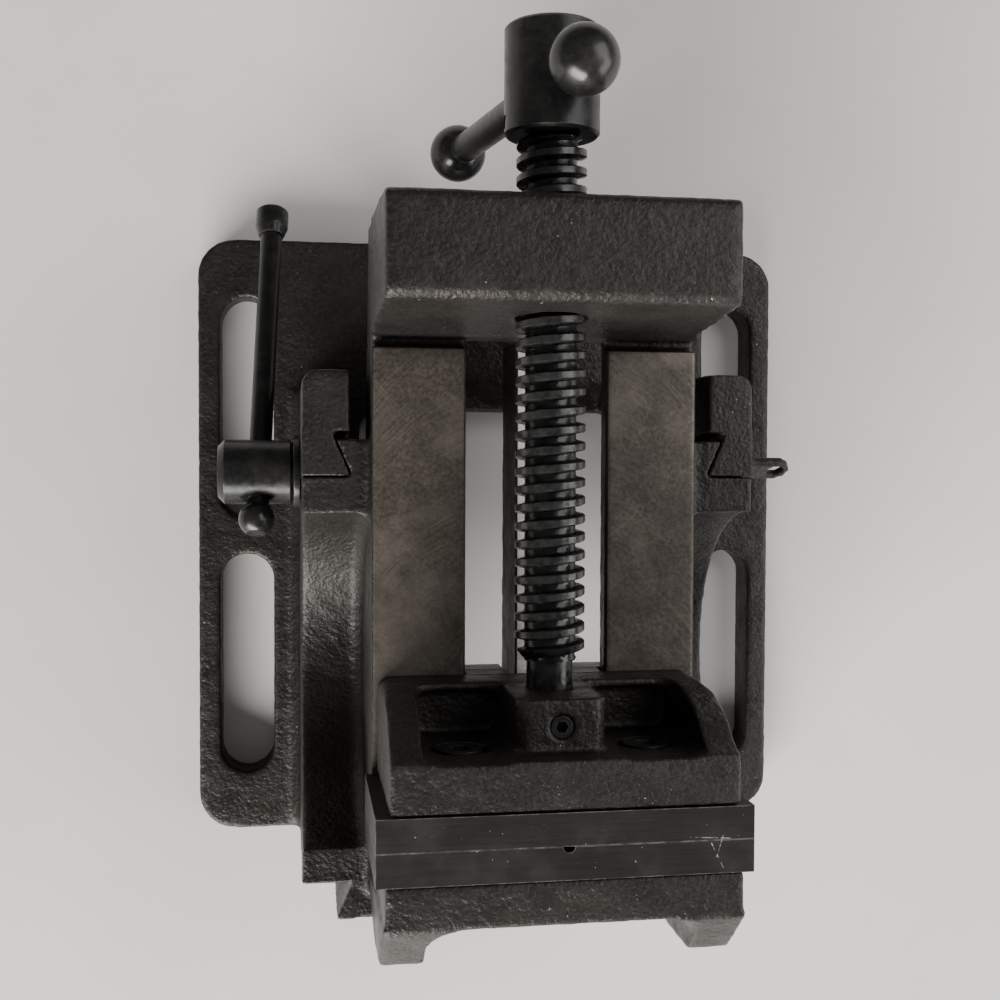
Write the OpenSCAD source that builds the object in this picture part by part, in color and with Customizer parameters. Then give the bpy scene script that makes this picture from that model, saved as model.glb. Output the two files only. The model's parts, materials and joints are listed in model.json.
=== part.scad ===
// Tilting machine vise, cradle pattern: a slotted base with two cheeks carries a
// vise body that swings from 0 to 90 degrees on undercut circular tracks.
// Millimetres, +Z up, handle end toward +Y, fixed jaw toward -Y.
// Origin: centre of the base plate's bottom face.

/* [Base plate] */
// base plate width along X
base_w = 209; // [150:1:280]
// base plate length along Y
base_l = 208; // [150:1:280]
// base plate thickness
base_t = 14; // [8:0.5:24]
// base plate corner radius
base_r = 13; // [4:1:30]
// width of each hold-down slot
slot_w = 18; // [10:0.5:22]
// overall length of each hold-down slot
slot_l = 77; // [40:1:85]
// slot centreline distance from the middle plane
slot_x = 87.5; // [70:0.5:120]
// slot centre distance from the base centre along Y
slot_y = 45; // [30:0.5:60]
// half width of the window through the base plate
window_hw = 48; // [30:1:52]

/* [Cradle] */
// tilt axis position along Y
tilt_y = -38.5; // [-60:0.5:0]
// tilt axis height
tilt_z = 93.6; // [80:0.2:120]
// radius of the cradle seat cut in the cheeks
seat_r = 60.9; // [50:0.1:70]
// radius at the bottom of the undercut groove
groove_r = 74.1; // [65:0.1:80]
// outer half width over the cheeks
cheek_hw = 69.3; // [60:0.1:80]
// inner half width between the cheeks
cheek_in = 54.6; // [50:0.1:60]
// half width of the groove at its bottom
groove_hw = 60.4; // [56:0.1:66]
// reach of the rear horns behind the tilt axis
horn_y = 92.3; // [80:0.1:100]

/* [Vise body] */
// height of the ground ways
way_z = 98.7; // [90:0.1:110]
// half width over the body
body_hw = 49; // [40:0.5:53]
// half width of the gap between the ways
gap_hw = 21.1; // [15:0.1:30]
// thickness of the ways
way_t = 9; // [6:0.5:14]
// inner radius of the side flanges
flange_ri = 49.5; // [40:0.5:55]
// height of the fixed and movable jaws
jaw_z = 147.6; // [130:0.2:160]
// height of the rear nut block
block_z = 143.6; // [130:0.2:160]
// rear face of the nut block behind the tilt axis
block_y = 136.4; // [120:0.2:150]
// half width of the centre rib
rib_hw = 5.1; // [4:0.1:10]

/* [Jaws] */
// jaw plate width (nominal 4 inch vise)
plate_w = 101.6; // [80:0.1:120]
// jaw plate thickness
plate_t = 9; // [6:0.1:14]
// jaw opening when fully open
travel = 92; // [40:1:93]
// seam between the closed jaws, in front of the tilt axis
seam = 35.7; // [30:0.1:45]

/* [Lead screw and handle] */
// height of the lead screw axis
screw_z = 119.4; // [110:0.1:130]
// thread outside radius
thread_r = 9.9; // [8:0.1:12]
// thread root radius
root_r = 7.2; // [6:0.1:9]
// thread pitch
pitch = 5.08; // [3:0.01:6]
// handle hub radius
hub_r = 13.4; // [10:0.1:16]
// sliding handle bar radius
bar_r = 4.7; // [3:0.1:6]
// handle ball radius
ball_r = 9.5; // [7:0.1:12]
// lean of the handle bar from vertical at rest
bar_lean = 10.2; // [-90:0.1:90]
// distance from the screw axis to the far handle ball
bar_far = 88; // [60:1:110]

/* [Tilt lock] */
// lock screw position behind the tilt axis
lock_y = 61.6; // [58:0.1:66]
// lock screw height
lock_z = 68; // [60:0.1:80]
// lock hub radius
lock_r = 10; // [8:0.1:12]
// lock lever radius
lever_r = 3.5; // [2.5:0.1:5]
// dip of the lock lever below horizontal at rest
lever_dip = 23.7; // [0:0.1:60]
// distance from the lock screw axis to the lever's knob
lever_far = 91; // [70:0.1:110]
// slant of the lock lever toward the cheek
lever_slant = 2.2; // [0:0.1:5]

/* [Hidden] */
$fn = 96;
eps = 0.01;
// fits
run_fit = 0.08;
slip_fit = 0.05;
face_gap = 0.05;
track_gap = 0.3;
// cradle track
flange_ro = seat_r - track_gap;
tongue_r = groove_r - 2.3;
flank = (groove_hw - cheek_in) / (groove_r - seat_r);
tongue_in = cheek_in - track_gap - 0.05;
tongue_hw = tongue_in + flank * (tongue_r - flange_ro);
flange_hw = cheek_hw - 0.1;
cheek_front = 68;
cheek_front_z = 46;
cheek_lip_y = 47;
cheek_lip_z = 56;
horn_corner = 5;
foot_fillet = 3.5;
window_rear = 83;
window_front = 45;
window_bevel = 11.3;
window_bevel_z = 4;
ear_y = 63.3;
ear_z = 86;
ear_lean = 57;
ear_reach = 14;
ear_hw = 4.4;
ear_t = 2.8;
ear_hole = 2.4;
// vise body
wall_t = 9;
wall_fillet = 3;
mov_rear = 2.2;
way_rear = mov_rear + travel + 4.6;
relief_d = 3.2;
block_front = 108;
block_foot = 102;
block_hw = 48.5;
block_draft = 1;
block_round = 2.6;
block_under = 78;
core_hw = 38;
fix_back = seam + plate_t;
fix_front = 57;
fix_foot = 58;
front_under = 60;
lug_y = 71;
lug_drop = 15;
lug_foot = 110;
lug_in = 36.5;
lug_fillet = 7;
rib_top = 92;
rib_under = 64;
beam_y = 60;
// movable jaw
mov_face = seam - plate_t - face_gap;
mov_hw = 47.3;
mov_band = 12.8;
mov_gap = 0.05;
mov_corner = 4;
shoulder_y = -16;
shoulder_z = 106;
shoulder_rise = 38;
lip_z = 111;
boss_hw = 12.5;
boss_cham = 2.5;
boss_rear = 1.6;
boss_z = 138.4;
pocket_out = 38;
pocket_front = 13.5;
pocket_rear = -0.8;
pocket_z = 106;
pocket_r = 5;
guide_in = 8;
guide_out = gap_hw - 0.3;
guide_front = 24;
guide_rear = 2;
keeper_gap = 0.1;
keeper_top = way_z - way_t - keeper_gap;
keeper_t = 9.6;
keeper_out = 34;
keep_x = 14.4;
keep_y = -11;
keep_in = 11;
// fasteners
m6_r = 3;
m6_head_r = 5;
m6_head_h = 6;
m6_hex_r = 2.9;
m6_bore = 3.3;
m8_r = 4;
m8_head_r = 6.5;
m8_head_h = 8;
m8_hex_r = 3.5;
m8_bore = 4.4;
cbore_r = 7.8;
plate_screw_x = 26.5;
plate_screw_z = 126;
plate_screw_in = 7;
seat_fix = 49.4;
seat_mov = 21.6;
notch_r = 1.6;
set_r = 3;
set_y = -6.2;
set_top = 137.7;
set_dog = 2;
set_hex_r = 1.75;
set_hex_l = 3.5;
// lead screw
journal_r = 6.5;
journal_tip = -13.8;
journal_end = 8;
groove_w = 5.6;
journal_groove = 5;
thread_end = 155.2;
shank_end = 164;
shank_r = 6.3;
pad_t = 3;
crest = 1.9;
flank_w = 0.65;
// handle
hub_front = 155.7;
hub_rear = 186;
hub_cham = 0.8;
bar_y = 170.6;
bar_near = hub_r + ball_r + 0.2;
pin_y = 159.4;
pin_r = 2;
// tilt lock
lock_x = 82;
lock_out = 94.4;
lock_in = 71.5;
lock_tip = 61.2;
lock_stub_r = 4;
lock_cham = 2;
washer_r = 11.3;
washer_out = 71.45;
washer_in = 69.35;
shoe_in = 58.9;
shoe_out = 61.1;
lock_ball_r = 5.5;
lever_near = lock_r + lock_ball_r + 0.2;
knob_r = 5.4;
knob_h = 10;

// ---------- helpers ----------

// everything carried on the tilt axis is drawn with y = 0 at that axis
module at_axis() {
    translate([0, tilt_y, 0]) children();
}

// rectangle with round corners
module rrect(w, l, r) {
    square([w - 2 * r, l], center = true);
    square([w, l - 2 * r], center = true);
    for (sx = [-1, 1]) {
        for (sy = [-1, 1]) {
            translate([sx * (w / 2 - r), sy * (l / 2 - r)]) circle(r = r);
        }
    }
}

// obround slot, long along Y
module obround(w, l) {
    square([w, l - w], center = true);
    for (sy = [-1, 1]) {
        translate([0, sy * (l - w) / 2]) circle(r = w / 2);
    }
}

// side profile in Y and Z, drawn out along X
module side_plate(x0, x1, pts) {
    translate([x0, 0, 0]) rotate([90, 0, 90]) linear_extrude(x1 - x0) polygon(pts);
}

// ring about the tilt axis from a profile of [radius, x] points
module tilt_ring(pts) {
    translate([0, 0, tilt_z]) rotate([0, 90, 0]) rotate_extrude($fn = 180) polygon(pts);
}

module bar_along_y(r, y0, y1) {
    translate([0, y0, 0]) rotate([-90, 0, 0]) cylinder(r = r, h = y1 - y0);
}

module bar_along_x(r, x0, x1) {
    translate([x0, 0, 0]) rotate([0, 90, 0]) cylinder(r = r, h = x1 - x0);
}

module both_sides() {
    children();
    mirror([1, 0, 0]) children();
}

// socket head cap screw, head seat at z = 0, shank toward -Z
module cap_screw(shank, r, head_r, head_h, hex_r) {
    difference() {
        union() {
            cylinder(r = head_r, h = head_h);
            translate([0, 0, -shank]) cylinder(r = r, h = shank + eps);
        }
        translate([0, 0, head_h / 2]) cylinder(r = hex_r, h = head_h, $fn = 6);
    }
}

// ---------- base ----------

module cheek() {
    side_plate(cheek_in, cheek_hw, [
        [-cheek_front, base_t - 1], [horn_y, base_t - 1], [horn_y, tilt_z],
        [20, tilt_z], [-cheek_lip_y, cheek_lip_z], [-cheek_front, cheek_front_z]
    ]);
    translate([0, horn_y - 3, 0]) rotate([90, 0, 0])
        linear_extrude(horn_y + cheek_front - 8) polygon([
            [cheek_hw - 1, base_t - 1], [cheek_hw + foot_fillet, base_t - 1],
            [cheek_hw + foot_fillet, base_t], [cheek_hw, base_t + foot_fillet],
            [cheek_hw - 1, base_t + foot_fillet]
        ]);
}

module ear() {
    translate([cheek_hw, ear_y, ear_z]) rotate([ear_lean, 0, 0]) difference() {
        translate([-1, 0, -ear_t / 2]) linear_extrude(ear_t) {
            translate([0, -ear_hw]) square([ear_reach - ear_hw + 1, 2 * ear_hw]);
            translate([ear_reach - ear_hw + 1, 0]) circle(r = ear_hw);
        }
        translate([ear_reach - ear_hw, 0, -ear_t]) cylinder(r = ear_hole, h = 2 * ear_t);
    }
}

module base() {
    color("#4a4845") difference() {
        union() {
            linear_extrude(base_t) difference() {
                rrect(base_w, base_l, base_r);
                for (sx = [-1, 1]) {
                    for (sy = [-1, 1]) {
                        translate([sx * slot_x, sy * slot_y]) obround(slot_w, slot_l);
                    }
                }
                translate([0, tilt_y + (window_rear - window_front) / 2])
                    rrect(2 * window_hw, window_rear + window_front, 8);
            }
            at_axis() both_sides() cheek();
            at_axis() ear();
        }
        at_axis() {
            // cradle seat and undercut groove
            tilt_ring([
                [0, -cheek_hw - 1], [seat_r, -cheek_hw - 1], [seat_r, -cheek_in],
                [groove_r, -groove_hw], [groove_r, groove_hw], [seat_r, cheek_in],
                [seat_r, cheek_hw + 1], [0, cheek_hw + 1]
            ]);
            // rounded outer rear corners of the horns
            both_sides() translate([cheek_hw - horn_corner, horn_y - horn_corner, base_t + 6])
                difference() {
                    cube([horn_corner + 1, horn_corner + 1, tilt_z]);
                    translate([0, 0, -1]) cylinder(r = horn_corner, h = tilt_z + 2);
                }
            // bevel along the rear edge of the window
            side_plate(-window_hw + 8, window_hw - 8, [
                [window_rear - 1, base_t - window_bevel_z],
                [window_rear + window_bevel, base_t + 0.5], [window_rear - 1, base_t + 0.5]
            ]);
            // lock screw bore through the left cheek
            translate([0, lock_y, lock_z])
                bar_along_x(lock_stub_r + run_fit, -cheek_hw - 1, -cheek_in + 1);
        }
    }
}

module lock_washer() {
    color("#6b6a68") at_axis() translate([0, lock_y, lock_z]) difference() {
        bar_along_x(washer_r, -washer_out, -washer_in);
        bar_along_x(lock_stub_r + track_gap, -washer_out - 1, -washer_in + 1);
    }
}

module lock_shoe() {
    color("#b08d4f") at_axis() translate([0, lock_y, lock_z])
        bar_along_x(lock_stub_r, -shoe_out, -shoe_in);
}

// ---------- vise body ----------

module flange() {
    intersection() {
        tilt_ring([
            [flange_ri - wall_fillet, body_hw - 1], [flange_ri - wall_fillet, body_hw],
            [flange_ri, body_hw + wall_fillet], [flange_ri, flange_hw], [flange_ro, flange_hw],
            [flange_ro, tongue_in], [tongue_r, tongue_hw], [tongue_r, body_hw - 1]
        ]);
        translate([0, -100, 0]) cube([100, 200, tilt_z]);
    }
}

module body_wall() {
    intersection() {
        tilt_ring([
            [0, body_hw - wall_t], [0, body_hw], [tongue_r, body_hw],
            [tongue_r, body_hw - wall_t]
        ]);
        translate([0, -100, 0]) cube([100, 200, tilt_z]);
    }
    side_plate(body_hw - wall_t, body_hw, [
        [-fix_foot, way_z], [-fix_foot, 75], [beam_y, 60], [block_y - 20, 74],
        [block_y, block_under], [block_y, way_z - relief_d], [way_rear, way_z - relief_d],
        [way_rear, way_z]
    ]);
}

module way() {
    side_plate(gap_hw, body_hw, [
        [-fix_foot, way_z], [-fix_foot, way_z - way_t], [block_foot + 1, way_z - way_t],
        [block_foot + 1, way_z - relief_d], [way_rear, way_z - relief_d],
        [way_rear, way_z]
    ]);
}

// corner gusset in front of the fixed jaw, filleted on its inner side
module lug() {
    intersection() {
        side_plate(lug_in - lug_fillet, block_hw + 0.8, [
            [-fix_front + 1, jaw_z], [-fix_front, jaw_z], [-lug_y, jaw_z - lug_drop],
            [-lug_y, lug_foot], [-fix_foot, 84], [-fix_front + 1, 84]
        ]);
        linear_extrude(jaw_z) difference() {
            translate([lug_in - lug_fillet, -lug_y - 1])
                square([block_hw + 2 - lug_in + lug_fillet, lug_y - fix_front + 3]);
            translate([lug_in - lug_fillet, -fix_foot - lug_fillet]) circle(r = lug_fillet);
            translate([lug_in - lug_fillet - 1, -lug_y - 2])
                square([lug_fillet + 1, lug_y - fix_foot - lug_fillet + 2]);
        }
    }
}

// nut block: sloped front face, drafted sides and rounded top corners
module nut_block() {
    intersection() {
        side_plate(-body_hw, body_hw, [
            [block_foot, way_z - 6], [block_foot, way_z], [block_foot + 1.2, way_z + 5],
            [block_front - 1, block_z - block_round], [block_front - 0.2, block_z - 1.6],
            [block_front + 1.6, block_z - 0.3], [block_front + 3.2, block_z],
            [block_y - 3, block_z], [block_y - 0.8, block_z - 0.8],
            [block_y, block_z - 3], [block_y, block_under], [block_foot, block_under]
        ]);
        translate([0, block_y + 1, 0]) rotate([90, 0, 0]) linear_extrude(block_y) {
            for (sx = [-1, 1]) {
                translate([sx * (block_hw - block_round), block_z - block_round])
                    circle(r = block_round);
            }
            polygon([
                [-block_hw - block_draft, block_under - 1], [-block_hw - block_draft, way_z],
                [-block_hw, block_z - block_round], [-block_hw + block_round, block_z],
                [block_hw - block_round, block_z], [block_hw, block_z - block_round],
                [block_hw + block_draft, way_z], [block_hw + block_draft, block_under - 1]
            ]);
        }
    }
}

module vise_body() {
    color("#57534f") at_axis() difference() {
        union() {
            both_sides() {
                flange();
                body_wall();
                way();
            }
            // centre rib between the front and the nut block
            translate([-rib_hw, -fix_back, rib_under])
                cube([2 * rib_hw, fix_back + block_foot + 6, rib_top - rib_under]);
            // front foundation
            side_plate(-body_hw, body_hw, [
                [-27, way_z], [-fix_foot, way_z], [-fix_foot, 72], [-50, front_under],
                [-27, front_under]
            ]);
            // fixed jaw
            side_plate(-block_hw, block_hw, [
                [-fix_back, way_z - 1], [-fix_back, jaw_z], [-fix_front, jaw_z],
                [-fix_foot, way_z + 6], [-fix_foot, way_z - 1]
            ]);
            both_sides() lug();
            nut_block();
        }
        // cored undersides
        translate([-core_hw, block_foot + 5, block_under - 1])
            cube([2 * core_hw, block_y - block_foot - 12, 22]);
        translate([-core_hw, -50, front_under - 1]) cube([2 * core_hw, 17, 28]);
        // screw bore through the nut block
        translate([0, 0, screw_z])
            bar_along_y(thread_r + slip_fit, block_foot - 5, block_y + 1);
        // counterbored holes for the fixed jaw plate's screws, from the front
        both_sides() translate([plate_screw_x, 0, plate_screw_z]) {
            bar_along_y(m8_bore, -fix_foot - 1, -fix_back + 1);
            bar_along_y(cbore_r, -fix_foot - 2, -seat_fix);
        }
    }
}

// ---------- jaw plates ----------

module jaw_plate() {
    difference() {
        translate([-plate_w / 2, 0, way_z + 0.3])
            cube([plate_w, plate_t, jaw_z - way_z - 0.1]);
        both_sides() translate([plate_screw_x, 0, plate_screw_z])
            bar_along_y(m8_r + slip_fit, -1, plate_screw_in + 0.5);
    }
}

// screws from behind a jaw plate, head seat the given distance behind its back face
module plate_screws(seat) {
    both_sides() translate([plate_screw_x, -seat, plate_screw_z])
        rotate([90, 0, 0]) cap_screw(seat + plate_screw_in, m8_r, m8_head_r, m8_head_h, m8_hex_r);
}

module fixed_jaw_plate() {
    color("#3b3c3e") at_axis() translate([0, -fix_back, 0]) difference() {
        jaw_plate();
        // upright half-round notch for round stock
        translate([0, plate_t, way_z - 1]) cylinder(r = notch_r, h = jaw_z, $fn = 48);
    }
}

module fixed_plate_screws() {
    color("#2c2c2d") at_axis() translate([0, -fix_back, 0]) plate_screws(seat_fix - fix_back);
}

module movable_jaw_plate() {
    color("#3b3c3e") at_axis() translate([0, -mov_face, 0]) mirror([0, 1, 0]) jaw_plate();
}

module movable_plate_screws() {
    color("#2c2c2d") at_axis() translate([0, -mov_face, 0]) mirror([0, 1, 0])
        plate_screws(mov_face - seat_mov);
}

// ---------- movable jaw ----------

// side profile of the movable jaw: flat band, then a rounded shoulder down to its rear face
module jaw_blank() {
    shoulder = [for (a = [20 : 14 : 90]) [
        shoulder_y + (mov_rear - shoulder_y) * sin(a), shoulder_z + shoulder_rise * cos(a)
    ]];
    side_plate(-mov_hw, mov_hw, concat(
        [[-mov_face, way_z + mov_gap], [-mov_face, jaw_z], [-mov_band, jaw_z]],
        shoulder,
        [[mov_rear, way_z + mov_gap]]
    ));
}

// centre boss that holds the screw's journal
module jaw_boss() {
    translate([0, boss_rear, 0]) rotate([90, 0, 0]) linear_extrude(boss_rear + mov_band + 2)
        polygon([
            [-boss_hw, way_z + 2], [-boss_hw, boss_z - boss_cham],
            [-boss_hw + boss_cham, boss_z], [boss_hw - boss_cham, boss_z],
            [boss_hw, boss_z - boss_cham], [boss_hw, way_z + 2]
        ]);
}

module movable_jaw() {
    color("#57534f") at_axis() difference() {
        union() {
            difference() {
                jaw_blank();
                both_sides() {
                    // rounded rear corners
                    translate([mov_hw - mov_corner, mov_rear - mov_corner, way_z - 1])
                        difference() {
                            cube([mov_corner + 1, mov_corner + 1, jaw_z]);
                            translate([0, 0, -1]) cylinder(r = mov_corner, h = jaw_z + 2);
                        }
                    // pockets
                    translate([
                        (boss_hw + pocket_out) / 2, (pocket_rear - pocket_front) / 2, pocket_z
                    ])
                        linear_extrude(50)
                            rrect(pocket_out - boss_hw, pocket_rear + pocket_front, pocket_r);
                }
                // low rear lip between the shoulders
                translate([0, mov_rear + 1, lip_z + 20]) rotate([90, 0, 0])
                    linear_extrude(mov_rear + 1 + mov_band) rrect(2 * pocket_out, 40, pocket_r);
            }
            jaw_boss();
            // guides between the ways
            both_sides() translate([guide_in, -guide_front, keeper_top])
                cube([guide_out - guide_in, guide_front + guide_rear, way_z - keeper_top + 1]);
        }
        translate([0, 0, screw_z])
            bar_along_y(journal_r + slip_fit, journal_tip - pad_t - 0.1, boss_rear + 1);
        translate([0, set_y, screw_z]) cylinder(r = set_r + slip_fit, h = 40);
        both_sides() translate([keep_x, keep_y, keeper_top - 1])
            cylinder(r = m6_r + slip_fit, h = keep_in + 1.5);
        both_sides() translate([plate_screw_x, 0, plate_screw_z]) {
            bar_along_y(m8_bore, -mov_face - 1, -pocket_front + 1);
            bar_along_y(cbore_r, -seat_mov, -pocket_front + 1);
        }
    }
}

module keeper_plates() {
    color("#5f5d5a") at_axis() both_sides() difference() {
        translate([guide_in, -guide_front, keeper_top - keeper_t])
            cube([keeper_out - guide_in, guide_front + guide_rear, keeper_t]);
        translate([keep_x, keep_y, keeper_top - keeper_t - 1])
            cylinder(r = m6_bore, h = keeper_t + 2);
    }
}

module keeper_bolts() {
    color("#2c2c2d") at_axis() both_sides() translate([keep_x, keep_y, keeper_top - keeper_t])
        rotate([180, 0, 0]) cap_screw(keeper_t + keep_in, m6_r, m6_head_r, m6_head_h, m6_hex_r);
}

module retaining_screw() {
    color("#2c2c2d") at_axis() translate([0, set_y, 0]) difference() {
        union() {
            translate([0, 0, screw_z + journal_r + 0.8])
                cylinder(r = set_r, h = set_top - screw_z - journal_r - 0.8);
            translate([0, 0, screw_z + journal_groove + 0.3])
                cylinder(r = set_dog, h = 4);
        }
        translate([0, 0, set_top - set_hex_l]) cylinder(r = set_hex_r, h = set_hex_l + 1, $fn = 6);
    }
}

module thrust_pad() {
    color("#8a8784") at_axis() translate([0, 0, screw_z])
        bar_along_y(journal_r - 0.1, journal_tip - pad_t - 0.05, journal_tip - 0.05);
}

// ---------- lead screw and handle ----------

module lead_screw() {
    turns = floor((thread_end - journal_end - 3) / pitch);
    start = journal_end + 2;
    ridges = [for (i = [0 : turns - 1]) for (p = [
        [root_r, start + i * pitch], [thread_r, start + i * pitch + flank_w],
        [thread_r, start + i * pitch + flank_w + crest],
        [root_r, start + i * pitch + 2 * flank_w + crest]
    ]) p];
    color("#2b2a29") at_axis() translate([0, 0, screw_z]) difference() {
        rotate([-90, 0, 0]) rotate_extrude() polygon(concat(
            [
                [0, journal_tip], [journal_r - 1, journal_tip], [journal_r, journal_tip + 1],
                [journal_r, set_y - groove_w / 2], [journal_groove, set_y - groove_w / 2],
                [journal_groove, set_y + groove_w / 2], [journal_r, set_y + groove_w / 2],
                [journal_r, journal_end]
            ],
            ridges,
            [
                [root_r, thread_end], [shank_r, thread_end],
                [shank_r, shank_end], [0, shank_end]
            ]
        ));
        translate([0, pin_y, 0]) bar_along_x(pin_r + slip_fit, -20, 20);
    }
}

module handle_hub() {
    color("#3a3836") at_axis() translate([0, 0, screw_z]) difference() {
        rotate([-90, 0, 0]) rotate_extrude() polygon([
            [0, hub_front], [hub_r - hub_cham, hub_front], [hub_r, hub_front + hub_cham],
            [hub_r, hub_rear - hub_cham], [hub_r - hub_cham, hub_rear], [0, hub_rear]
        ]);
        bar_along_y(shank_r + slip_fit, hub_front - 1, shank_end + 0.5);
        translate([0, pin_y, 0]) bar_along_x(pin_r + slip_fit, -20, 20);
        translate([0, bar_y, 0]) rotate([0, bar_lean, 0])
            cylinder(r = bar_r + run_fit, h = 40, center = true);
    }
}

module hub_pin() {
    color("#6f6e6c") at_axis() translate([0, pin_y, screw_z])
        bar_along_x(pin_r, -hub_r + 0.4, hub_r - 0.4);
}

// frame of the sliding bar: local +Z points to the near ball
module bar_frame() {
    at_axis() translate([0, bar_y, screw_z]) rotate([0, bar_lean, 0]) children();
}

module handle_bar() {
    color("#3a3836") bar_frame() translate([0, 0, -bar_far])
        cylinder(r = bar_r, h = bar_far + bar_near);
}

module handle_ball(flip) {
    rotate([flip, 0, 0]) difference() {
        sphere(r = ball_r);
        translate([0, 0, -ball_r - 1]) cylinder(r = bar_r + 0.02, h = ball_r + 1);
    }
}

module handle_ball_upper() {
    color("#2f2e2d") bar_frame() translate([0, 0, bar_near]) handle_ball(0);
}

module handle_ball_lower() {
    color("#2f2e2d") bar_frame() translate([0, 0, -bar_far]) handle_ball(180);
}

// ---------- tilt lock ----------

// frame of the lock lever: local +Z points along the lever to the knob
module lever_frame() {
    at_axis() translate([-lock_x, lock_y, lock_z]) rotate([-90 - lever_dip, 0, 0])
        rotate([0, lever_slant, 0]) children();
}

module lock_screw() {
    color("#3a3836") difference() {
        at_axis() translate([0, lock_y, lock_z]) rotate([0, -90, 0]) rotate_extrude() polygon([
            [0, lock_tip], [lock_stub_r, lock_tip], [lock_stub_r, lock_in],
            [lock_r - 1, lock_in], [lock_r, lock_in + 1], [lock_r, lock_out - lock_cham],
            [lock_r - lock_cham, lock_out], [0, lock_out]
        ]);
        lever_frame() cylinder(r = lever_r + run_fit, h = 40, center = true);
    }
}

module lock_lever() {
    color("#3a3836") lever_frame() translate([0, 0, -lever_near])
        cylinder(r = lever_r, h = lever_far + lever_near);
}

module lock_ball() {
    color("#2f2e2d") lever_frame() translate([0, 0, -lever_near]) difference() {
        sphere(r = lock_ball_r);
        cylinder(r = lever_r + 0.02, h = lock_ball_r + 1);
        translate([-10, -10, -lock_ball_r - 1]) cube([20, 20, 1.8]);
    }
}

module lock_knob() {
    color("#2f2e2d") lever_frame() translate([0, 0, lever_far - knob_h / 2]) difference() {
        rotate_extrude() polygon([
            [0, 0], [lever_r + 0.6, 0], [knob_r, 3.5], [knob_r, knob_h - 1],
            [knob_r - 1, knob_h], [0, knob_h]
        ]);
        translate([0, 0, -1]) cylinder(r = lever_r + 0.02, h = knob_h / 2 + 1);
    }
}

base();
lock_washer();
lock_shoe();
vise_body();
fixed_jaw_plate();
fixed_plate_screws();
movable_jaw();
movable_jaw_plate();
movable_plate_screws();
keeper_plates();
keeper_bolts();
retaining_screw();
thrust_pad();
lead_screw();
handle_hub();
hub_pin();
handle_bar();
handle_ball_upper();
handle_ball_lower();
lock_screw();
lock_lever();
lock_ball();
lock_knob();
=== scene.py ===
"""Tilting machine vise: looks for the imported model. Metres, +Z up, handle end toward +Y."""

import json
import math

import bmesh
import bpy
import numpy as np
from mathutils import Matrix, Vector


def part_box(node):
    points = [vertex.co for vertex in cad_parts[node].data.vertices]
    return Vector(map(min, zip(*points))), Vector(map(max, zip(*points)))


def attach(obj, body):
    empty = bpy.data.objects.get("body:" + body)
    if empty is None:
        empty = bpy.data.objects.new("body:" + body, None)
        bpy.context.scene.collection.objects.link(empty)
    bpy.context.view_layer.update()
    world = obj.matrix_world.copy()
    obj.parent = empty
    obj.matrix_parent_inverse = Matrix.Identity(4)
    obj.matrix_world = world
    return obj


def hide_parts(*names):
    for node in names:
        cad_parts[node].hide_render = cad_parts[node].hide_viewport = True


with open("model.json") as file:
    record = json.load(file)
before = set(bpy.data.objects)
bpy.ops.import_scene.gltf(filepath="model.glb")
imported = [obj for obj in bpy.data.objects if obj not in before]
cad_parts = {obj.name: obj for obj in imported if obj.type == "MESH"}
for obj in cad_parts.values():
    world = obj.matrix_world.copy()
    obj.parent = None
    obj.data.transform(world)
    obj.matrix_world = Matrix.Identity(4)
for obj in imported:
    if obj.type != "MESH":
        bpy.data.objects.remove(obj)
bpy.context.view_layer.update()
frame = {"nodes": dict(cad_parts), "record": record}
NODES = frame["nodes"]
RECORD = frame["record"]
JOINTS = {j["name"]: j for j in RECORD["behaviour"]["joints"]}
MM = 0.001

TILT = Vector(JOINTS["tilt"]["pos_m"])
SCREW = Vector(JOINTS["spindle_turn"]["pos_m"])
PITCH = 2 * math.pi / RECORD["behaviour"]["couplings"][0]["ratio"]
WAY_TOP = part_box("fixed_jaw_plate")[0].z - 0.3 * MM
PLATE_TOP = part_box("fixed_jaw_plate")[1].z
SEAM_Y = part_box("fixed_jaw_plate")[1].y
RIB_TOP = 92 * MM
RIB_REACH = 7 * MM  # just past the rib's sides, from the middle
SEAT_R = 60.6 * MM  # cradle: radius of the seat and of the bottom of its groove
GROOVE_R = 74.1 * MM
TRACK_IN = 53.5 * MM  # cradle: how far out the tracks start and end, from the middle
TRACK_OUT = 62 * MM
CAST_RIPPLE = 0.35 * MM
SAME_POINT = 0.002 * MM
FLOOR_HALF = 4


# ---------- node helpers ----------

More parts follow.
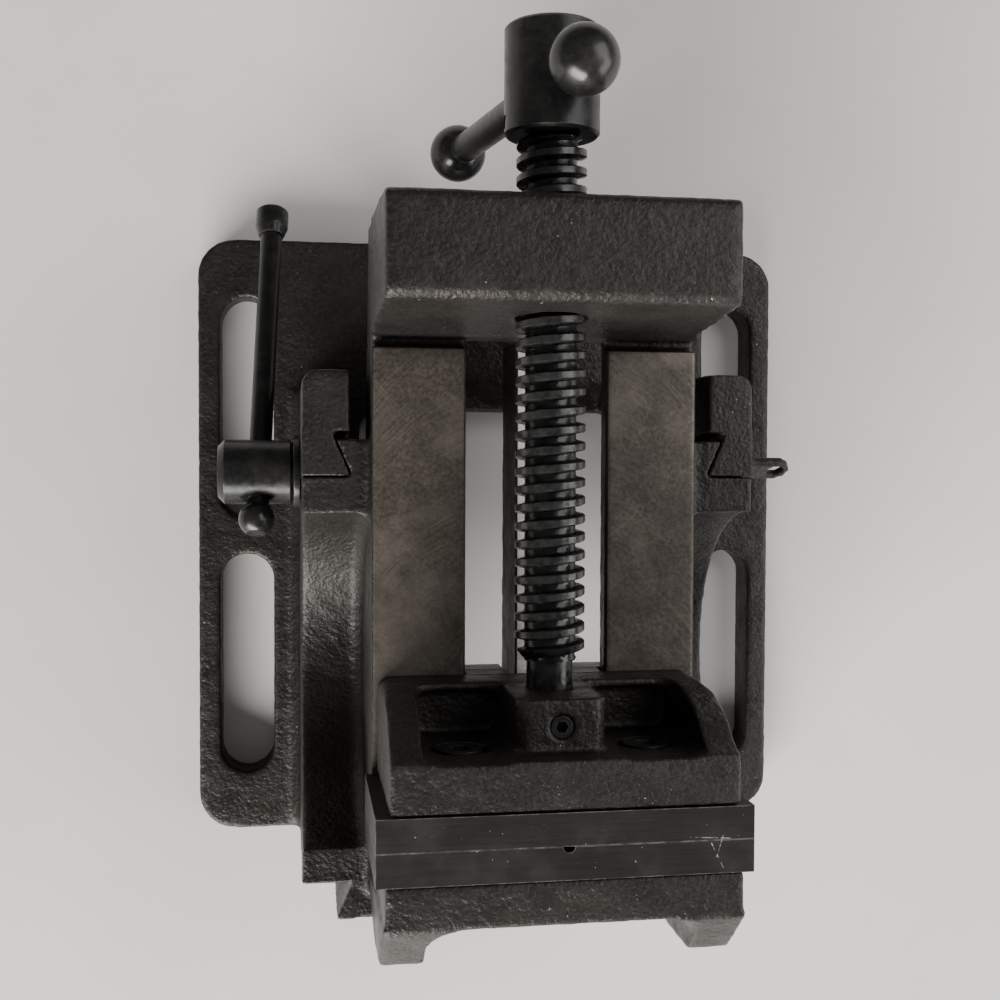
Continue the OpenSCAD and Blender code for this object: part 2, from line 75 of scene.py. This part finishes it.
class Shader:
    """A small wrapper that builds one node material. Feature sizes are in millimetres."""

    def __init__(self, name):
        self.mat = bpy.data.materials.new(name)
        self.mat.use_nodes = True
        self.tree = self.mat.node_tree
        self.bsdf = self.tree.nodes["Principled BSDF"]
        self.coords = self.node("ShaderNodeTexCoord")

    def node(self, kind, **props):
        made = self.tree.nodes.new(kind)
        for key, value in props.items():
            setattr(made, key, value)
        return made

    def link(self, source, target):
        self.tree.links.new(source, target)

    def put(self, socket, value):
        if isinstance(value, bpy.types.NodeSocket):
            self.link(value, socket)
        else:
            socket.default_value = value

    def position(self, scale=(1, 1, 1), rotate=(0, 0, 0)):
        """Object-space position, turned and then scaled; every mesh keeps the row frame."""
        place = self.node("ShaderNodeMapping", vector_type="TEXTURE")
        place.inputs["Scale"].default_value = [1 / k for k in scale]
        place.inputs["Rotation"].default_value = rotate
        self.link(self.coords.outputs["Object"], place.inputs["Vector"])
        return place.outputs["Vector"]

    def noise(self, size_mm, detail=4, rough=0.55, vector=None, distort=0.0):
        made = self.node("ShaderNodeTexNoise")
        made.inputs["Scale"].default_value = 1 / (size_mm * MM)
        made.inputs["Detail"].default_value = detail
        made.inputs["Roughness"].default_value = rough
        made.inputs["Distortion"].default_value = distort
        self.link(vector or self.coords.outputs["Object"], made.inputs["Vector"])
        return made.outputs["Fac"]

    def cells(self, size_mm):
        made = self.node("ShaderNodeTexVoronoi", feature="SMOOTH_F1")
        made.inputs["Scale"].default_value = 1 / (size_mm * MM)
        self.link(self.coords.outputs["Object"], made.inputs["Vector"])
        return made.outputs["Distance"]

    def ramp(self, value, low, high, to_low=0.0, to_high=1.0):
        """A smooth step from to_low at low to to_high at high."""
        made = self.node("ShaderNodeMapRange")
        made.interpolation_type = "SMOOTHSTEP"
        self.put(made.inputs["Value"], value)
        for key, number in (("From Min", low), ("From Max", high),
                            ("To Min", to_low), ("To Max", to_high)):
            made.inputs[key].default_value = number
        return made.outputs["Result"]

    def math(self, operation, a, b=0.0):
        made = self.node("ShaderNodeMath", operation=operation)
        self.put(made.inputs[0], a)
        self.put(made.inputs[1], b)
        return made.outputs["Value"]

    def vector(self, operation, a, b, output="Vector"):
        made = self.node("ShaderNodeVectorMath", operation=operation)
        self.put(made.inputs[0], a)
        self.put(made.inputs[1], b)
        return made.outputs[output]

    def mix(self, factor, a, b):
        """Between two colours. The Mix node's sockets share their names, so these go by number."""
        made = self.node("ShaderNodeMix", data_type="RGBA")
        self.put(made.inputs["Factor"], factor)
        self.put(made.inputs[6], a)
        self.put(made.inputs[7], b)
        return made.outputs[2]

    def blend(self, factor, a, b):
        """Between two numbers, or between two normals, by socket number as in mix."""
        is_vector = a.type == "VECTOR"
        made = self.node("ShaderNodeMix", data_type="VECTOR" if is_vector else "FLOAT")
        first = 4 if is_vector else 2
        self.put(made.inputs["Factor"], factor)
        self.put(made.inputs[first], a)
        self.put(made.inputs[first + 1], b)
        return made.outputs[1 if is_vector else 0]

    def bump(self, height, strength, distance_mm, normal=None):
        made = self.node("ShaderNodeBump")
        made.inputs["Strength"].default_value = strength
        made.inputs["Distance"].default_value = distance_mm * MM
        self.link(height, made.inputs["Height"])
        if normal is not None:
            self.link(normal, made.inputs["Normal"])
        return made.outputs["Normal"]

    def axis(self, name, kind="Object"):
        split = self.node("ShaderNodeSeparateXYZ")
        self.link(self.coords.outputs[kind], split.inputs["Vector"])
        return split.outputs[name]

    def radius(self, first, second, centre):
        """Distance from an axis through centre, square to the two named axes."""
        a = self.math("SUBTRACT", self.axis(first), getattr(centre, first.lower()))
        b = self.math("SUBTRACT", self.axis(second), getattr(centre, second.lower()))
        total = self.math("ADD", self.math("MULTIPLY", a, a), self.math("MULTIPLY", b, b))
        return self.math("SQRT", total)

    def edges(self, radius_mm):
        """1 on edges and 0 on flats, from the Bevel node."""
        bevel = self.node("ShaderNodeBevel", samples=4)
        bevel.inputs["Radius"].default_value = radius_mm * MM
        geometry = self.node("ShaderNodeNewGeometry")
        dot = self.vector("DOT_PRODUCT", bevel.outputs["Normal"],
                          geometry.outputs["Normal"], "Value")
        return self.ramp(dot, 0.99, 0.86)

    def stroke(self, start, end, width_mm):
        """1 along a fine straight scratch between two points, 0 elsewhere."""
        start, end = Vector(start), Vector(end)
        along = end - start
        offset = self.vector("SUBTRACT", self.coords.outputs["Object"], start)
        share = self.vector("DOT_PRODUCT", offset, along / along.length_squared, "Value")
        share = self.math("MINIMUM", self.math("MAXIMUM", share, 0.0), 1.0)
        scaled = self.node("ShaderNodeVectorMath", operation="SCALE")
        scaled.inputs[0].default_value = along
        self.link(share, scaled.inputs["Scale"])
        gap = self.vector("DISTANCE", offset, scaled.outputs["Vector"], "Value")
        return self.ramp(gap, width_mm * MM, 0.3 * width_mm * MM)

    def finish(self, color, roughness, metallic, normal):
        self.put(self.bsdf.inputs["Base Color"], color)
        self.put(self.bsdf.inputs["Roughness"], roughness)
        self.put(self.bsdf.inputs["Metallic"], metallic)
        self.link(normal, self.bsdf.inputs["Normal"])
        return self.mat


def rgb(r, g, b):
    return (r, g, b, 1.0)


def grey(value, warm=1.0):
    """A grey that leans to brown where warm is above 1."""
    return rgb(value * warm, value, value / warm)


# ---------- materials ----------

def cast_iron(name, machined=None):
    """Oily black sand-cast iron with a grainy skin. machined(shader) masks its milled faces."""
    s = Shader(name)
    skin = s.noise(1.2, detail=4, rough=0.55, distort=0.2)
    dents = s.noise(3.4, detail=3, distort=0.4)
    pits = s.cells(1.5)
    color = s.mix(s.ramp(skin, 0.3, 0.7), grey(0.015, 1.1), grey(0.026, 1.15))
    color = s.mix(s.ramp(s.noise(34, detail=3), 0.46, 0.7, 0.0, 0.4), color, grey(0.036, 1.18))
    specks = s.math("MULTIPLY", s.ramp(s.noise(1.0, detail=1), 0.755, 0.785),
                    s.ramp(s.noise(16, detail=1), 0.52, 0.64))
    color = s.mix(specks, color, grey(0.34, 1.05))
    worn = s.math("MULTIPLY", s.edges(0.8), s.ramp(s.noise(0.9, detail=3), 0.5, 0.64))
    worn = s.math("MULTIPLY", worn, s.ramp(s.noise(7, detail=2), 0.42, 0.58))
    color = s.mix(s.math("MULTIPLY", worn, 0.75), color, grey(0.26, 1.06))
    rough = s.ramp(s.noise(9, detail=5), 0.3, 0.7, 0.36, 0.5)
    height = s.math("ADD", skin, s.math("MULTIPLY", pits, -0.3))
    height = s.math("ADD", height, s.math("MULTIPLY", dents, 0.6))
    normal = s.bump(height, 0.7, 0.5)
    if machined is not None:
        mask = machined(s)
        color = s.mix(mask, color, milled_color_and_rib_glare(s))
        rough = s.blend(mask, rough, s.ramp(s.noise(7, detail=4), 0.3, 0.7, 0.34, 0.5))
        fine = s.noise(1.2, detail=5, rough=0.65)
        normal = s.blend(mask, normal, s.bump(fine, 0.35, 0.16))
    return s.finish(color, rough, 0.5, normal)


def milled_color_and_rib_glare(s):
    """Brown-grey milled iron: mottled, with slanting scratches and faint cutter arcs, and a
    painted near-white reflection on the rib's milled top.
    """
    grain = s.noise(1.1, detail=6, rough=0.72)
    color = s.mix(s.ramp(grain, 0.32, 0.7), rgb(0.053, 0.044, 0.036), rgb(0.132, 0.110, 0.092))
    smear = s.ramp(s.noise(15, detail=5, rough=0.65), 0.42, 0.6)
    color = s.mix(s.math("MULTIPLY", smear, 0.4), color, rgb(0.045, 0.037, 0.03))
    pale = s.ramp(s.noise(26, detail=4, distort=0.6), 0.46, 0.64)
    color = s.mix(s.math("MULTIPLY", pale, 0.5), color, rgb(0.155, 0.134, 0.114))
    for turn, low in ((0.75, 0.58), (-0.9, 0.62)):
        lines = s.noise(1.3, detail=2, vector=s.position((1, 0.035, 1), (0, 0, turn)))
        lines = s.math("MULTIPLY", s.ramp(lines, low, low + 0.07),
                       s.ramp(s.noise(12, detail=3, distort=turn), 0.46, 0.6))
        color = s.mix(s.math("MULTIPLY", lines, 0.22), color, rgb(0.2, 0.172, 0.146))
    sweep = s.noise(0.9, detail=4, rough=0.7, vector=cutter_sweep(s))
    patches = s.ramp(s.noise(22, detail=3), 0.4, 0.62, 0.08, 0.55)
    color = s.mix(s.math("MULTIPLY", s.ramp(sweep, 0.5, 0.66), patches), color,
                  rgb(0.14, 0.119, 0.1))
    color = s.mix(s.math("MULTIPLY", s.ramp(sweep, 0.46, 0.34), patches), color,
                  rgb(0.04, 0.032, 0.026))
    # painted reflection: the rib's milled top is painted near white, standing in for the glare it
    # catches
    painted_rib_glare = s.math("MULTIPLY", rib_mask(s), s.ramp(grain, 0.25, 0.6, 0.6, 1.0))
    return s.mix(painted_rib_glare, color, rgb(0.86, 0.84, 0.81))


def cutter_sweep(s):
    """Coordinates that run along the arcs a face mill leaves as it feeds along Y."""
    cutter_r = 60 * MM
    x = s.axis("X")
    reach = s.math("SQRT", s.math("SUBTRACT", cutter_r ** 2, s.math("MULTIPLY", x, x)))
    joined = s.node("ShaderNodeCombineXYZ")
    s.link(s.math("SUBTRACT", s.axis("Y"), reach), joined.inputs["X"])
    s.link(s.math("MULTIPLY", x, 0.05), joined.inputs["Y"])
    return joined.outputs["Vector"]


def level_mask(s, height):
    """Level faces at one height."""
    off = s.math("ABSOLUTE", s.math("SUBTRACT", s.axis("Z"), height))
    level = s.ramp(s.axis("Z", "Normal"), 0.9, 0.98)
    return s.math("MULTIPLY", s.ramp(off, 0.8 * MM, 0.4 * MM), level)


def rib_mask(s):
    """Milled top of the rib under the lead screw."""
    beside = s.math("ABSOLUTE", s.axis("X"))
    near_rib = s.ramp(beside, RIB_REACH + 1 * MM, RIB_REACH)
    return s.math("MULTIPLY", level_mask(s, RIB_TOP), near_rib)


def way_mask(s):
    """Milled tops of the ways and of the rib between them."""
    return s.math("MAXIMUM", level_mask(s, WAY_TOP), rib_mask(s))


def seat_mask(s):
    """The turned seat and groove of the cradle, below the tilt axis."""
    middle = (SEAT_R + GROOVE_R) / 2
    reach = (GROOVE_R - SEAT_R) / 2 + 0.15 * MM
    off = s.math("ABSOLUTE", s.math("SUBTRACT", s.radius("Y", "Z", TILT), middle))
    ring = s.ramp(off, reach + 0.3 * MM, reach)
    beside = s.math("ABSOLUTE", s.axis("X"))
    ring = s.math("MULTIPLY", ring, s.ramp(beside, TRACK_OUT + 1 * MM, TRACK_OUT))
    return s.math("MULTIPLY", ring, s.ramp(s.axis("Z"), TILT.z - 0.6 * MM, TILT.z - 1.2 * MM))


def ground_plate(name):
    """Blackened, ground tool steel with a worn edge and a few scratches at one end."""
    s = Shader(name)
    grain = s.noise(0.5, detail=3, vector=s.position((0.03, 1, 1)))
    blotch = s.noise(14, detail=5)
    color = s.mix(s.ramp(grain, 0.3, 0.7), grey(0.014, 1.06), grey(0.02, 1.06))
    color = s.mix(s.ramp(blotch, 0.46, 0.66, 0, 0.6), color, grey(0.027, 1.1))
    top = PLATE_TOP
    # where each scratch starts and ends, and its width in mm
    marks = [
        ((0.0388, SEAM_Y - 0.0008, top), (0.0424, SEAM_Y - 0.0080, top), 0.22),
        ((0.0420, SEAM_Y + 0.0012, top), (0.0402, SEAM_Y - 0.0046, top), 0.16),
        ((0.0330, SEAM_Y + 0.0011, top), (0.0440, SEAM_Y + 0.0004, top), 0.15),
    ]
    broken = s.ramp(s.noise(1.4, detail=3), 0.42, 0.6)
    for start, end, width in marks:
        line = s.math("MULTIPLY", s.stroke(start, end, width), broken)
        color = s.mix(line, color, grey(0.36))
    dots = s.math("MULTIPLY", s.ramp(s.noise(0.8, detail=1), 0.77, 0.79),
                  s.ramp(s.noise(12), 0.5, 0.56))
    color = s.mix(dots, color, grey(0.4))
    wear = s.math("MULTIPLY", s.edges(0.45), s.ramp(s.noise(3, detail=4), 0.38, 0.6, 0.25, 1.0))
    color = s.mix(s.math("MULTIPLY", wear, 0.8), color, grey(0.3))
    rough = s.ramp(blotch, 0.3, 0.7, 0.42, 0.54)
    return s.finish(color, rough, 0.45, s.bump(grain, 0.06, 0.03))


def satin_black(name, ring_axis, dark=0.012, light=0.032, rough=(0.28, 0.42)):
    """Lathe-turned steel under black oxide: fine tool rings, dull stains, rubbed edges."""
    s = Shader(name)
    scale = {"X": (1, 0.03, 0.03), "Y": (0.03, 1, 0.03), "Z": (0.03, 0.03, 1)}[ring_axis]
    rings = s.noise(0.4, detail=2, vector=s.position(scale))
    blotch = s.noise(8, detail=6, rough=0.62)
    color = s.mix(s.ramp(blotch, 0.34, 0.68), grey(dark), grey(light, 1.03))
    spots = s.ramp(s.noise(1.3, detail=4), 0.62, 0.72)
    color = s.mix(s.math("MULTIPLY", spots, 0.5), color, rgb(0.06, 0.05, 0.042))
    wear = s.math("MULTIPLY", s.edges(0.5), s.ramp(s.noise(3), 0.38, 0.6))
    color = s.mix(s.math("MULTIPLY", wear, 0.5), color, grey(0.22, 1.02))
    gloss = s.ramp(s.noise(4, detail=5), 0.32, 0.7, rough[0], rough[1])
    normal = s.bump(rings, 0.15, 0.05)
    normal = s.bump(s.noise(1.3, detail=4), 0.2, 0.12, normal)
    return s.finish(color, gloss, 0.5, normal)


def oily_thread(name):
    """Black greasy thread with slightly rubbed crests."""
    s = Shader(name)
    crest_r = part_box("lead_screw")[1].x
    crest = s.ramp(s.radius("X", "Z", SCREW), crest_r - 0.7 * MM, crest_r - 0.2 * MM)
    grime = s.noise(4, detail=6)
    color = s.mix(s.ramp(grime, 0.35, 0.65), grey(0.010), grey(0.03, 1.03))
    rubbed = s.math("MULTIPLY", crest, s.ramp(s.noise(2.2, detail=4), 0.35, 0.65, 0.15, 0.7))
    color = s.mix(rubbed, color, grey(0.05, 1.03))
    rough = s.ramp(s.noise(2.4, detail=5), 0.32, 0.68, 0.12, 0.34)
    return s.finish(color, rough, 0.5, s.bump(s.noise(1.0, detail=5), 0.3, 0.15))


def plain_metal(name, dark, light, rough):
    """Brushed bare metal with a few stains, for the hidden pieces."""
    s = Shader(name)
    brush = s.noise(0.6, detail=3, vector=s.position((0.06, 1, 1)))
    color = s.mix(s.ramp(brush, 0.3, 0.7), rgb(*dark), rgb(*light))
    stain = s.ramp(s.noise(5, detail=5), 0.55, 0.7)
    color = s.mix(s.math("MULTIPLY", stain, 0.5), color, rgb(*(0.4 * c for c in dark)))
    gloss = s.ramp(s.noise(4, detail=4), 0.3, 0.7, rough[0], rough[1])
    return s.finish(color, gloss, 0.9, s.bump(brush, 0.12, 0.04))


def paint_nodes():
    """Materials for the CAD nodes that are shown as they are."""
    ball = satin_black("ball_black", "Z", 0.016, 0.036, (0.2, 0.34))
    fastener = satin_black("fastener_black", "Z", 0.014, 0.04)
    keeper = plain_metal("keeper_steel", (0.09, 0.087, 0.083), (0.2, 0.195, 0.19), (0.35, 0.5))
    plate = ground_plate("plate_ground")
    lock = satin_black("lock_black", "X", 0.014, 0.036, (0.26, 0.4))
    looks = {
        "fixed_jaw_plate": plate, "movable_jaw_plate": plate,
        "handle_hub": satin_black("hub_black", "Y", 0.011, 0.026),
        "handle_bar": satin_black("bar_black", "Z", 0.014, 0.034),
        "handle_ball_upper": ball, "handle_ball_lower": ball,
        "lock_ball": ball, "lock_knob": ball, "lock_screw": lock, "lock_washer": lock,
        "lock_lever": satin_black("lever_black", "Y", 0.010, 0.024),
        "lock_shoe": plain_metal("shoe_brass", (0.4, 0.28, 0.12), (0.62, 0.46, 0.22), (0.3, 0.45)),
        "keeper_plates": keeper, "thrust_pad": keeper, "hub_pin": keeper,
        "keeper_bolts": fastener, "fixed_plate_screws": fastener,
        "movable_plate_screws": fastener, "retaining_screw": fastener,
    }
    for name, mat in looks.items():
        mesh = NODES[name].data
        mesh.materials.clear()
        mesh.materials.append(mat)


# ---------- shapes ----------

def soften(name, width_mm):
    """Rounded or broken edges, as modifiers on the CAD node."""
    o = NODES[name]
    weld = o.modifiers.new("weld", "WELD")
    weld.merge_threshold = 0.02 * MM
    bevel = o.modifiers.new("round", "BEVEL")
    bevel.width = width_mm * MM
    bevel.segments = 3
    bevel.limit_method = "ANGLE"
    bevel.angle_limit = math.radians(32)
    bevel.miter_outer = "MITER_ARC"
    for polygon in o.data.polygons:
        polygon.use_smooth = True
    tidy = o.modifiers.new("normals", "WEIGHTED_NORMAL")
    tidy.weight = 60


def soften_all():
    """Broken edges for the CAD nodes that have sharp ones, with their widths in mm."""
    widths = {
        "fixed_jaw_plate": 0.35, "movable_jaw_plate": 0.35, "handle_hub": 0.4,
        "lock_screw": 0.4, "lock_knob": 0.5, "lock_ball": 0.3, "keeper_bolts": 0.3,
        "fixed_plate_screws": 0.3, "movable_plate_screws": 0.3, "retaining_screw": 0.2,
        "keeper_plates": 0.5, "lock_washer": 0.35, "thrust_pad": 0.3, "hub_pin": 0.3,
    }
    for name, width in widths.items():
        soften(name, width)


def link(name, mesh):
    o = bpy.data.objects.new(name, mesh)
    bpy.context.collection.objects.link(o)
    return o


def applied(o):
    """The object's mesh with its modifiers applied; the object itself is removed."""
    graph = bpy.context.evaluated_depsgraph_get()
    mesh = bpy.data.meshes.new_from_object(o.evaluated_get(graph), depsgraph=graph)
    bpy.data.objects.remove(o)
    return mesh


def casting(node, body, look, voxel_mm, passes, sharpness, triangles):
    """A casting rebuilt from its CAD node with every edge rounded as sand casting leaves it.

    sharpness(points) gives 0 where an edge keeps its full casting radius and 1 where it is
    machined and stays crisp.
    """
    rough = link("remesh", NODES[node].data.copy())
    remesh = rough.modifiers.new("voxels", "REMESH")
    remesh.mode = "VOXEL"
    remesh.voxel_size = voxel_mm * MM
    mesh = applied(rough)
    points = np.empty(len(mesh.vertices) * 3)
    mesh.vertices.foreach_get("co", points)
    share = 1 - np.clip(sharpness(points.reshape(-1, 3)), 0, 1)
    o = link("smooth", mesh)
    group = o.vertex_groups.new(name="cast")
    for level in np.unique(np.round(share, 1)):
        chosen = np.nonzero(np.round(share, 1) == level)[0]
        if level > 0:
            group.add(chosen.tolist(), float(level), "REPLACE")
    smooth = o.modifiers.new("round", "SMOOTH")
    smooth.factor = 0.5
    smooth.iterations = passes
    smooth.vertex_group = group.name
    ripple = o.modifiers.new("ripple", "DISPLACE")
    ripple.texture = sand_waves()
    ripple.texture_coords = "LOCAL"
    ripple.mid_level = 1.0
    ripple.strength = CAST_RIPPLE
    ripple.vertex_group = group.name
    thin = o.modifiers.new("thin", "DECIMATE")
    thin.ratio = min(1.0, triangles / (2 * len(mesh.polygons)))
    mesh = applied(o)
    mesh.name = node + "_cast"
    mesh.materials.clear()
    mesh.materials.append(look)
    for polygon in mesh.polygons:
        polygon.use_smooth = True
    piece = link(node + "_cast", mesh)
    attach(piece, body)
    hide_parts(node)


def sand_waves():
    """Shallow unevenness, only ever inward, as a sand mould leaves it."""
    waves = bpy.data.textures.get("sand_waves")
    if waves is None:
        waves = bpy.data.textures.new("sand_waves", "CLOUDS")
        waves.noise_scale = 4 * MM
        waves.noise_depth = 1
    return waves


def near(value, centre, reach):
    """1 within reach of centre, falling to 0 at twice that."""
    return np.clip(2 - np.abs(value - centre) / reach, 0, 1)


def track_sharpness(points):
    """The turned cradle track stays crisp."""
    radius = np.hypot(points[:, 1] - TILT.y, points[:, 2] - TILT.z)
    beside = np.abs(points[:, 0]) > TRACK_IN
    inside = (radius > SEAT_R - 1.2 * MM) & (radius < GROOVE_R + 1.5 * MM)
    return np.where(beside & inside, 0.9, 0.0)


def base_sharpness(points):
    """The track, and to a lesser degree the machined underside."""
    bottom = near(points[:, 2], 0, 1.5 * MM) * 0.5
    return np.maximum(track_sharpness(points), bottom)


def body_sharpness(points):
    """The track, the milled ways and rib, and the lead screw's bore."""
    ways = near(points[:, 2], WAY_TOP, 1.6 * MM) * 0.85
    rib = near(points[:, 2], RIB_TOP, 1.2 * MM) * 0.85 * (np.abs(points[:, 0]) < RIB_REACH)
    bore = np.hypot(points[:, 0], points[:, 2] - SCREW.z) < 12 * MM
    return np.maximum.reduce([track_sharpness(points), ways, rib, np.where(bore, 0.7, 0.0)])


def jaw_sharpness(points):
    """The foot that slides on the ways, and the bore for the lead screw's end."""
    foot = np.where(points[:, 2] < WAY_TOP + 1.5 * MM, 0.8, 0.0)
    bore = np.hypot(points[:, 0], points[:, 2] - SCREW.z) < 7.5 * MM
    return np.maximum(foot, np.where(bore, 0.7, 0.0))


def castings():
    casting("base", "base", cast_iron("iron_base", seat_mask),
            voxel_mm=0.8, passes=14, sharpness=base_sharpness, triangles=150000)
    casting("vise_body", "body", cast_iron("iron_body", way_mask),
            voxel_mm=0.8, passes=14, sharpness=body_sharpness, triangles=190000)
    casting("movable_jaw", "jaw", cast_iron("iron_jaw"),
            voxel_mm=0.5, passes=26, sharpness=jaw_sharpness, triangles=90000)


def helical_screw():
    """The lead screw with a true right-hand helical thread, run out at both ends."""
    low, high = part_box("lead_screw")
    crest_r = high.x
    root_r = crest_r - 2.7 * MM
    # the threaded length, measured from the tilt axis
    start = TILT.y + 9.4 * MM
    end = TILT.y + 155.6 * MM
    run_in = 0.7 * PITCH
    run_out = 0.25 * PITCH
    steps = 72
    soft = 0.3 * MM
    # offsets along one pitch and radii of the thread form, corners broken
    form = [
        (0.30, root_r), (1.55, root_r), (1.78, root_r + soft), (2.22, crest_r - soft),
        (2.48, crest_r), (4.18, crest_r), (4.44, crest_r - soft), (4.88, root_r + soft),
    ]
    turns = int((end - start) / PITCH) + 2
    build = bmesh.new()
    rows = []
    for turn in range(-1, turns):
        for offset, radius in form:
            row = []
            for i in range(steps):
                angle = 2 * math.pi * i / steps
                y = start + (turn + i / steps) * PITCH + offset * MM
                depth = np.clip((y - start) / run_in, 0, 1) * np.clip((end - y) / run_out, 0, 1)
                r = root_r + (radius - root_r) * depth
                y = np.clip(y, start, end)
                row.append(build.verts.new((r * math.sin(angle), y,
                                            SCREW.z + r * math.cos(angle))))
            rows.append(row)
    for k in range(len(rows) - 1):
        for i in range(steps):
            if i < steps - 1:
                corners = (rows[k][i], rows[k + 1][i], rows[k + 1][i + 1], rows[k][i + 1])
            elif k + 1 + len(form) < len(rows):
                wrap = k + len(form)
                corners = (rows[k][i], rows[k + 1][i], rows[wrap + 1][0], rows[wrap][0])
            else:
                continue
            build.faces.new(corners)
    bmesh.ops.remove_doubles(build, verts=build.verts, dist=SAME_POINT)
    bmesh.ops.dissolve_degenerate(build, edges=build.edges, dist=SAME_POINT)
    for ring_y in (start, end):
        rim = [e for e in build.edges if e.is_boundary
               and all(abs(v.co.y - ring_y) < 0.05 * MM for v in e.verts)]
        bmesh.ops.contextual_create(build, geom=rim)
    loose = [v for v in build.verts if not v.link_faces]
    bmesh.ops.delete(build, geom=loose, context="VERTS")
    # plain journal, retaining groove and shank, turned about the same axis
    journal = 6.5 * MM
    groove = 5.0 * MM
    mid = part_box("retaining_screw")[0].y + 3 * MM
    half = 2.8 * MM
    tip = low.y
    shank = 6.3 * MM
    outline = [
        (tip, 0), (tip, journal - 1 * MM), (tip + 1 * MM, journal), (mid - half, journal),
        (mid - half, groove), (mid + half, groove), (mid + half, journal),
        (start + 0.5 * MM, journal), (start + 0.5 * MM, 0),
    ]
    lathe(build, outline, steps)
    inner = end - 0.5 * MM
    lathe(build, [(inner, 0), (inner, shank), (high.y, shank), (high.y, 0)], steps)
    bmesh.ops.recalc_face_normals(build, faces=build.faces)
    mesh = bpy.data.meshes.new("lead_screw_thread")
    build.to_mesh(mesh)
    build.free()
    for polygon in mesh.polygons:
        polygon.use_smooth = True
    mesh.set_sharp_from_angle(angle=math.radians(38))
    mesh.materials.append(oily_thread("thread_oily"))
    piece = link("lead_screw_thread", mesh)
    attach(piece, "spindle")
    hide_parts("lead_screw")


def lathe(build, outline, steps):
    """Turn an outline of (y, radius) points about the lead screw's axis, closed at both ends."""
    rings = []
    for y, r in outline:
        if r == 0:
            rings.append([build.verts.new((0, y, SCREW.z))])
            continue
        rings.append([
            build.verts.new((r * math.sin(2 * math.pi * i / steps), y,
                             SCREW.z + r * math.cos(2 * math.pi * i / steps)))
            for i in range(steps)
        ])
    for a, b in zip(rings, rings[1:]):
        for i in range(steps):
            j = (i + 1) % steps
            if len(a) == 1:
                build.faces.new((a[0], b[j], b[i]))
            elif len(b) == 1:
                build.faces.new((a[i], a[j], b[0]))
            else:
                build.faces.new((a[i], a[j], b[j], b[i]))


# ---------- stage ----------

def floor():
    """A plain pale floor."""
    mesh = bpy.data.meshes.new("floor")
    build = bmesh.new()
    bmesh.ops.create_grid(build, x_segments=1, y_segments=1, size=FLOOR_HALF)
    build.to_mesh(mesh)
    build.free()
    s = Shader("floor_paper")
    tone = s.mix(s.ramp(s.noise(60, detail=3), 0.3, 0.7), rgb(0.76, 0.735, 0.71),
                 rgb(0.79, 0.765, 0.74))
    mesh.materials.append(s.finish(tone, 0.75, 0.0, s.bump(s.noise(0.6), 0.05, 0.1)))
    link("floor", mesh)


def area(name, place, target, size, watts, color=(1, 1, 1)):
    """A rectangular lamp that faces its target."""
    light = bpy.data.lights.new(name, "AREA")
    light.energy = watts
    light.shape = "RECTANGLE"
    light.size, light.size_y = size
    light.color = color
    o = link(name, light)
    o.location = place
    o.rotation_mode = "QUATERNION"
    o.rotation_quaternion = (Vector(target) - Vector(place)).to_track_quat("-Z", "Y")


def lights():
    """A big low window in front on the left, and two weaker soft lights on the right."""
    aim = (0, 0, 0.05)
    area("window", (-0.75, -1.45, 0.75), aim, (1.6, 0.8), 86, (1, 0.985, 0.965))
    area("ceiling", (1.1, 0.5, 1.25), aim, (1.2, 1.2), 14.5)
    area("fill", (1.5, -0.5, 0.8), aim, (1.3, 0.8), 15)
    world = bpy.data.worlds.new("studio")
    bpy.context.scene.world = world
    world.use_nodes = True
    back = world.node_tree.nodes["Background"]
    back.inputs["Color"].default_value = rgb(1.0, 0.98, 0.95)
    back.inputs["Strength"].default_value = 0.17


def camera():
    """Nearly straight down, from a little left of and behind the middle of the base."""
    data = bpy.data.cameras.new("camera")
    data.sensor_width = 36
    data.lens = 46.47
    data.clip_start, data.clip_end = 0.01, 20
    o = link("camera", data)
    place = Matrix.Translation((-0.0712, 0.02765, 0.4763))
    spin = Matrix.Rotation(0.0038, 4, "Z")
    lean = Matrix.Rotation(-0.158, 4, "Y")
    nod = Matrix.Rotation(-0.033, 4, "X")
    o.matrix_world = place @ spin @ lean @ nod
    bpy.context.scene.camera = o


paint_nodes()
soften_all()
castings()
helical_screw()
floor()
lights()
camera()
